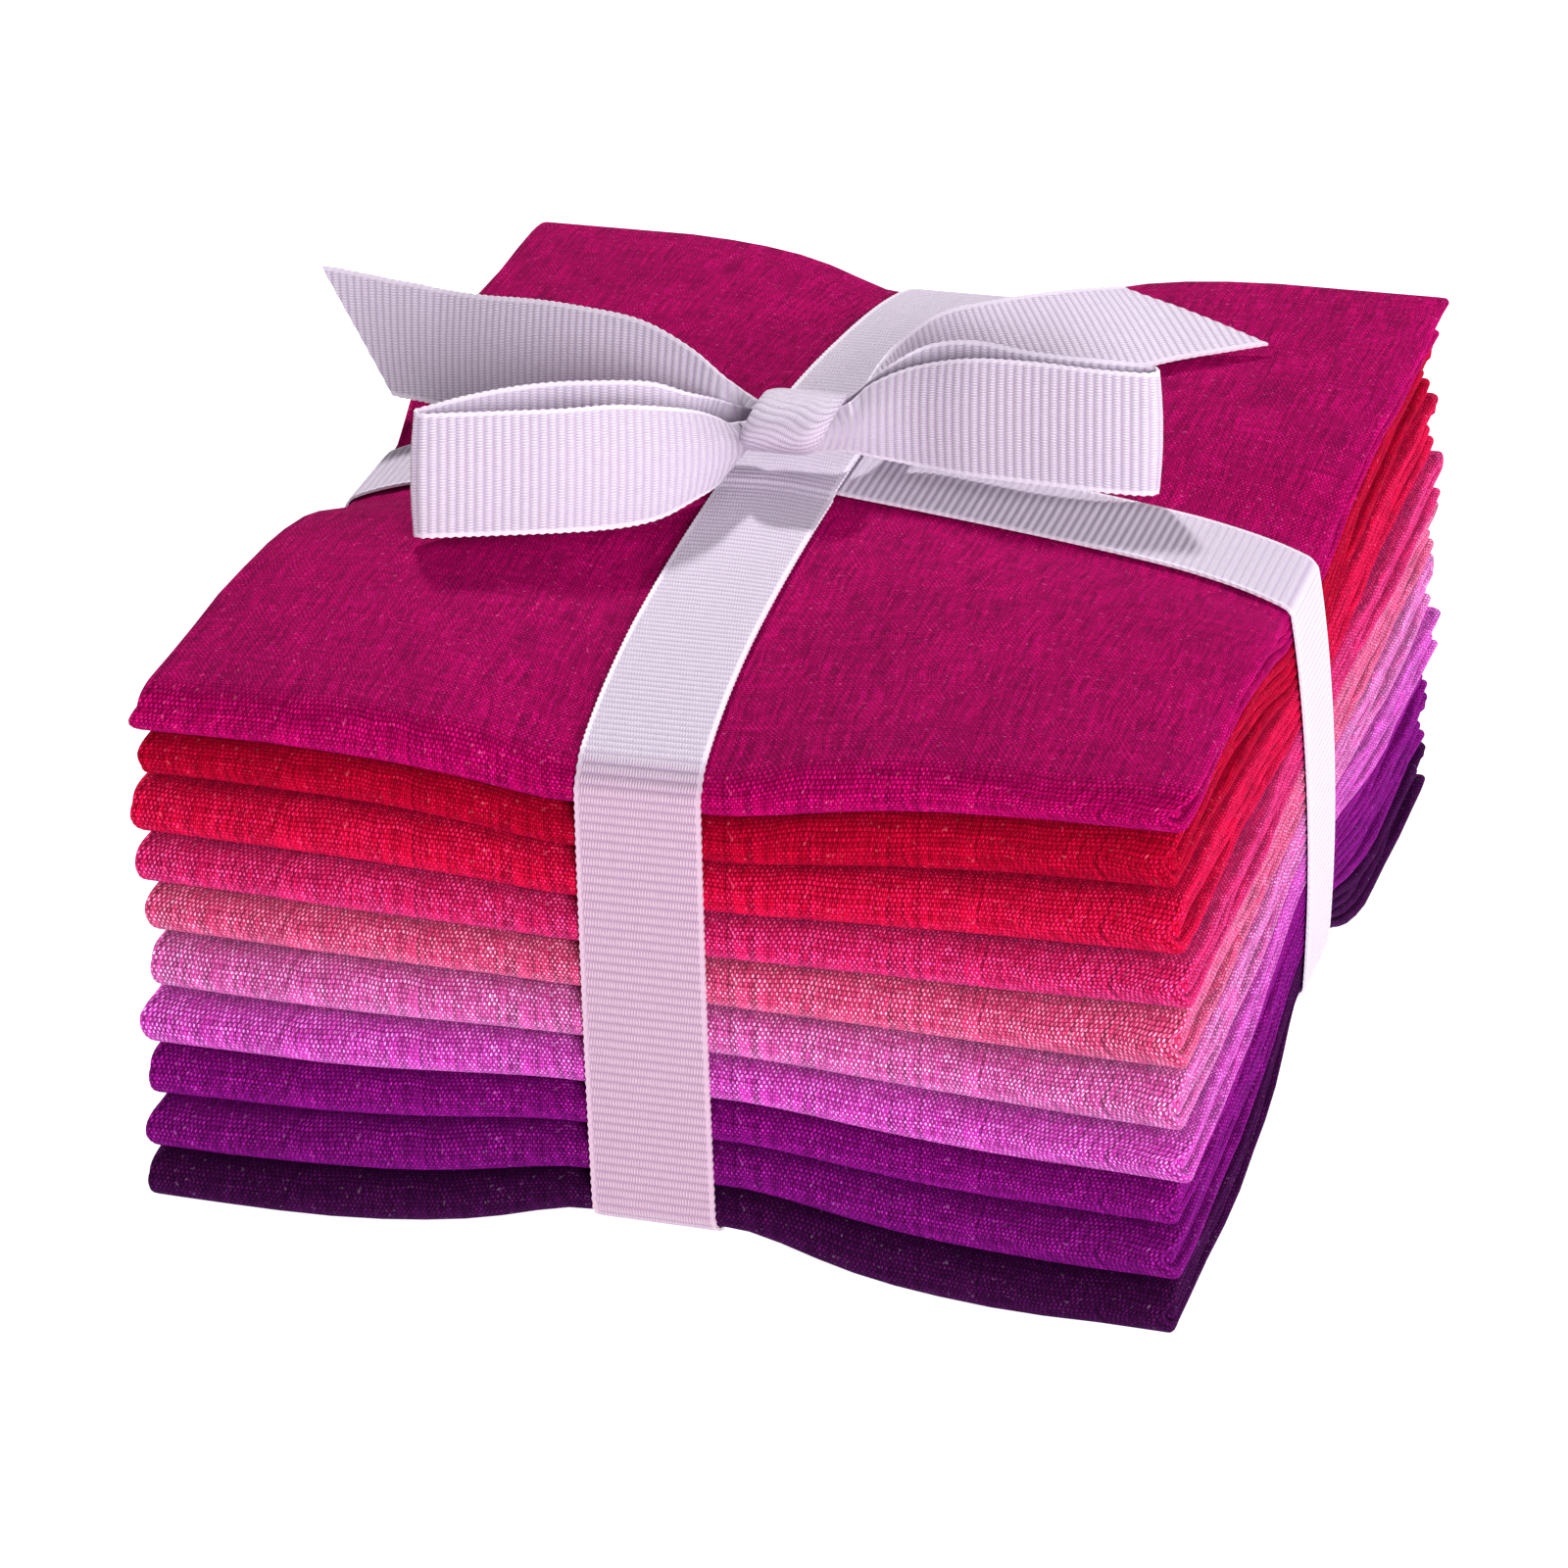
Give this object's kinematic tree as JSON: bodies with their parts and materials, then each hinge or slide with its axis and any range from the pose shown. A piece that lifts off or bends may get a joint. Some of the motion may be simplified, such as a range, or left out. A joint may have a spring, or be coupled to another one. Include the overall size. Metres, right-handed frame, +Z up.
{
  "type": "fat quarter bundle",
  "caption": "Stack of folded plain-dyed quilting cottons in graded pinks, reds and purples, tied both ways with a grosgrain ribbon and a bow.",
  "frame": {"origin": "middle of the part's box, at the height of the surface it rests on", "axes": "+Z up, +X towards the layered ends of the folds, +Y from the rounded front folds to the back"},
  "size_m": [0.1254, 0.142, 0.0764],
  "materials": {
    "fat_quarter_01_aubergine": "matte plain weave",
    "fat_quarter_02_plum": "matte plain weave",
    "fat_quarter_03_violet": "matte plain weave",
    "fat_quarter_04_orchid": "matte plain weave",
    "fat_quarter_05_pink": "matte plain weave",
    "fat_quarter_06_coral": "matte plain weave",
    "fat_quarter_07_rose": "matte plain weave",
    "fat_quarter_08_red": "matte plain weave",
    "fat_quarter_09_crimson": "matte plain weave",
    "fat_quarter_10_magenta": "matte plain weave",
    "grosgrain_ribbon": "soft sheen, ribbed"
  },
  "bodies": {
    "root": {"fat_quarter_01_aubergine": "fat_quarter_01_aubergine", "fat_quarter_02_plum": "fat_quarter_02_plum", "fat_quarter_03_violet": "fat_quarter_03_violet", "fat_quarter_04_orchid": "fat_quarter_04_orchid", "fat_quarter_05_pink": "fat_quarter_05_pink", "fat_quarter_06_coral": "fat_quarter_06_coral", "fat_quarter_07_rose": "fat_quarter_07_rose", "fat_quarter_08_red": "fat_quarter_08_red", "fat_quarter_09_crimson": "fat_quarter_09_crimson", "fat_quarter_10_magenta": "fat_quarter_10_magenta", "ribbon_long_way": "grosgrain_ribbon", "ribbon_cross_way": "grosgrain_ribbon", "bow_knot": "grosgrain_ribbon", "bow_loop_left": "grosgrain_ribbon", "bow_loop_right": "grosgrain_ribbon", "bow_tail_left": "grosgrain_ribbon", "bow_tail_right": "grosgrain_ribbon"}
  },
  "joints": []
}
